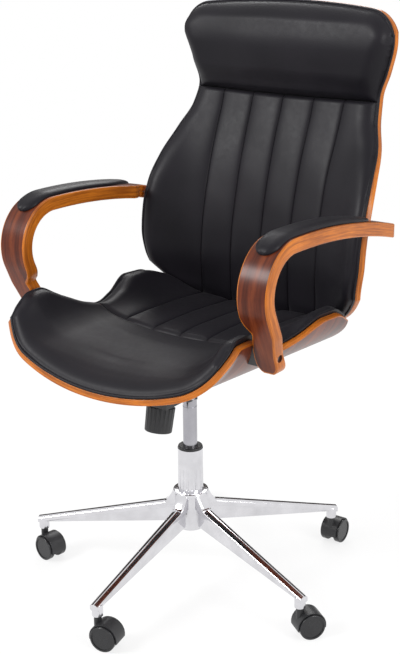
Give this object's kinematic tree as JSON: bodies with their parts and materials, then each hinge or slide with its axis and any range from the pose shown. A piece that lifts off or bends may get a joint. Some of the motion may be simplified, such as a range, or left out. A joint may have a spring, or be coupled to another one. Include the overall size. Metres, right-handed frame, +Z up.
{
  "type": "executive office chair",
  "caption": "High-backed office chair with moulded walnut ply seat and back, padded leather, bent ply arms, tilt mechanism, gas lift and a chrome star base on twin-wheel casters.",
  "frame": {"origin": "on the floor below the axis of the gas lift, with the casters' treads at z = 0", "axes": "+Z up, the sitter faces -Y, +X is the sitter's left; the lift stands fully up and the seat rests on its front tilt stop, as in the picture"},
  "size_m": [0.6508, 0.6996, 1.104],
  "materials": {
    "veneer": "walnut veneer under satin lacquer",
    "leather": "black padded leather, soft sheen",
    "chrome": "polished chrome",
    "steel": "turned steel",
    "black_metal": "black powder coat, satin",
    "black_plastic": "black nylon, satin",
    "tread": "black nylon, worn to a gloss",
    "bush_rubber": "black rubber"
  },
  "bodies": {
    "base": {"star_base": "chrome", "outer_column": "chrome", "guide_bush": "black_plastic", "thrust_bearing": "steel"},
    "rod": {"gas_rod": "steel", "rod_clip": "steel"},
    "carrier": {"gas_cylinder": "chrome", "tilt_housing": "black_metal", "pivot_pin": "steel", "tilt_bushes": "bush_rubber"},
    "button": {"release_button": "steel"},
    "knob": {"tension_knob": "black_plastic", "tension_bolt": "steel"},
    "bar": {"tension_bar": "steel"},
    "lever": {"height_lever": "black_metal", "lever_grip": "black_plastic"},
    "seat": {"seat_plate": "black_metal", "seat_rails": "veneer", "plate_screws": "steel", "seat_shell": "veneer", "seat_front_cushion": "leather", "seat_rear_cushion": "leather", "back_shell": "veneer", "back_cushion": "leather", "headrest_cushion": "leather", "right_armrest": "veneer", "left_armrest": "veneer", "right_arm_pad": "leather", "left_arm_pad": "leather", "right_seat_block": "black_plastic", "left_seat_block": "black_plastic", "arm_bolts": "steel", "rear_screws": "steel"},
    "caster_1": {"caster_1_body": "black_plastic", "caster_1_stem": "steel", "caster_1_axle": "steel"},
    "caster_1_wheel_a": {"caster_1_wheel_a": "tread"},
    "caster_1_wheel_b": {"caster_1_wheel_b": "tread"},
    "caster_2": {"caster_2_body": "black_plastic", "caster_2_stem": "steel", "caster_2_axle": "steel"},
    "caster_2_wheel_a": {"caster_2_wheel_a": "tread"},
    "caster_2_wheel_b": {"caster_2_wheel_b": "tread"},
    "caster_3": {"caster_3_body": "black_plastic", "caster_3_stem": "steel", "caster_3_axle": "steel"},
    "caster_3_wheel_a": {"caster_3_wheel_a": "tread"},
    "caster_3_wheel_b": {"caster_3_wheel_b": "tread"},
    "caster_4": {"caster_4_body": "black_plastic", "caster_4_stem": "steel", "caster_4_axle": "steel"},
    "caster_4_wheel_a": {"caster_4_wheel_a": "tread"},
    "caster_4_wheel_b": {"caster_4_wheel_b": "tread"},
    "caster_5": {"caster_5_body": "black_plastic", "caster_5_stem": "steel", "caster_5_axle": "steel"},
    "caster_5_wheel_a": {"caster_5_wheel_a": "tread"},
    "caster_5_wheel_b": {"caster_5_wheel_b": "tread"}
  },
  "joints": [
    {"name": "seat_turn", "type": "hinge", "parent": "base", "child": "rod", "pos_m": [0, 0, 0.118], "axis": [0, 0, 1], "continuous": true},
    {"name": "lift_slide", "type": "slide", "parent": "rod", "child": "carrier", "axis": [0, 0, 1], "range_m": [-0.085, 0]},
    {"name": "seat_tilt", "type": "hinge", "parent": "carrier", "child": "seat", "pos_m": [0, -0.05, 0.408], "axis": [-1, 0, 0], "range_deg": [0, 12], "stiffness_Nm_per_rad": 150, "springref_deg": -17.19},
    {"name": "knob_turn", "type": "hinge", "parent": "carrier", "child": "knob", "pos_m": [0, -0.09, 0.39], "axis": [0, 0.2079, 0.9781], "range_deg": [0, 1080]},
    {"name": "bar_travel", "type": "slide", "parent": "carrier", "child": "bar", "axis": [0, 0.2079, 0.9781], "range_m": [-0.00375, 0]},
    {"name": "lever_lift", "type": "hinge", "parent": "carrier", "child": "lever", "pos_m": [-0.0365, 0, 0.4128], "axis": [0, 1, 0], "range_deg": [0, 5], "stiffness_Nm_per_rad": 1, "springref_deg": -5.73},
    {"name": "button_press", "type": "slide", "parent": "carrier", "child": "button", "axis": [0, 0, 1], "range_m": [-0.0032, 0]},
    {"name": "caster_1_swivel", "type": "hinge", "parent": "base", "child": "caster_1", "pos_m": [-0.20222, 0.241, 0.07], "axis": [0, 0, 1], "continuous": true},
    {"name": "caster_1_wheel_a_roll", "type": "hinge", "parent": "caster_1", "child": "caster_1_wheel_a", "pos_m": [-0.18785, 0.25183, 0.025], "axis": [0.6018, -0.7986, 0], "continuous": true},
    {"name": "caster_1_wheel_b_roll", "type": "hinge", "parent": "caster_1", "child": "caster_1_wheel_b", "pos_m": [-0.18785, 0.25183, 0.025], "axis": [0.6018, -0.7986, 0], "continuous": true},
    {"name": "caster_2_swivel", "type": "hinge", "parent": "base", "child": "caster_2", "pos_m": [-0.29169, -0.11785, 0.07], "axis": [0, 0, 1], "continuous": true},
    {"name": "caster_2_wheel_a_roll", "type": "hinge", "parent": "caster_2", "child": "caster_2_wheel_a", "pos_m": [-0.27391, -0.12067, 0.025], "axis": [-0.1564, -0.9877, 0], "continuous": true},
    {"name": "caster_2_wheel_b_roll", "type": "hinge", "parent": "caster_2", "child": "caster_2_wheel_b", "pos_m": [-0.27391, -0.12067, 0.025], "axis": [-0.1564, -0.9877, 0], "continuous": true},
    {"name": "caster_3_swivel", "type": "hinge", "parent": "base", "child": "caster_3", "pos_m": [0.02194, -0.31383, 0.07], "axis": [0, 0, 1], "continuous": true},
    {"name": "caster_3_wheel_a_roll", "type": "hinge", "parent": "caster_3", "child": "caster_3_wheel_a", "pos_m": [0.03948, -0.30978, 0.025], "axis": [0.225, -0.9744, 0], "continuous": true},
    {"name": "caster_3_wheel_b_roll", "type": "hinge", "parent": "caster_3", "child": "caster_3_wheel_b", "pos_m": [0.03948, -0.30978, 0.025], "axis": [0.225, -0.9744, 0], "continuous": true},
    {"name": "caster_4_swivel", "type": "hinge", "parent": "base", "child": "caster_4", "pos_m": [0.30525, -0.07611, 0.07], "axis": [0, 0, 1], "continuous": true},
    {"name": "caster_4_wheel_a_roll", "type": "hinge", "parent": "caster_4", "child": "caster_4_wheel_a", "pos_m": [0.31558, -0.06136, 0.025], "axis": [0.8192, -0.5736, 0], "continuous": true},
    {"name": "caster_4_wheel_b_roll", "type": "hinge", "parent": "caster_4", "child": "caster_4_wheel_b", "pos_m": [0.31558, -0.06136, 0.025], "axis": [0.8192, -0.5736, 0], "continuous": true},
    {"name": "caster_5_swivel", "type": "hinge", "parent": "base", "child": "caster_5", "pos_m": [0.16671, 0.2668, 0.07], "axis": [0, 0, 1], "continuous": true},
    {"name": "caster_5_wheel_a_roll", "type": "hinge", "parent": "caster_5", "child": "caster_5_wheel_a", "pos_m": [0.16608, 0.28479, 0.025], "axis": [0.9994, 0.0349, 0], "continuous": true},
    {"name": "caster_5_wheel_b_roll", "type": "hinge", "parent": "caster_5", "child": "caster_5_wheel_b", "pos_m": [0.16608, 0.28479, 0.025], "axis": [0.9994, 0.0349, 0], "continuous": true}
  ],
  "couplings": [
    {"joint": "bar_travel", "follows": "knob_turn", "m_per_rad": -0.00019894},
    {"joint": "button_press", "follows": "lever_lift", "m_per_rad": -0.036669}
  ]
}
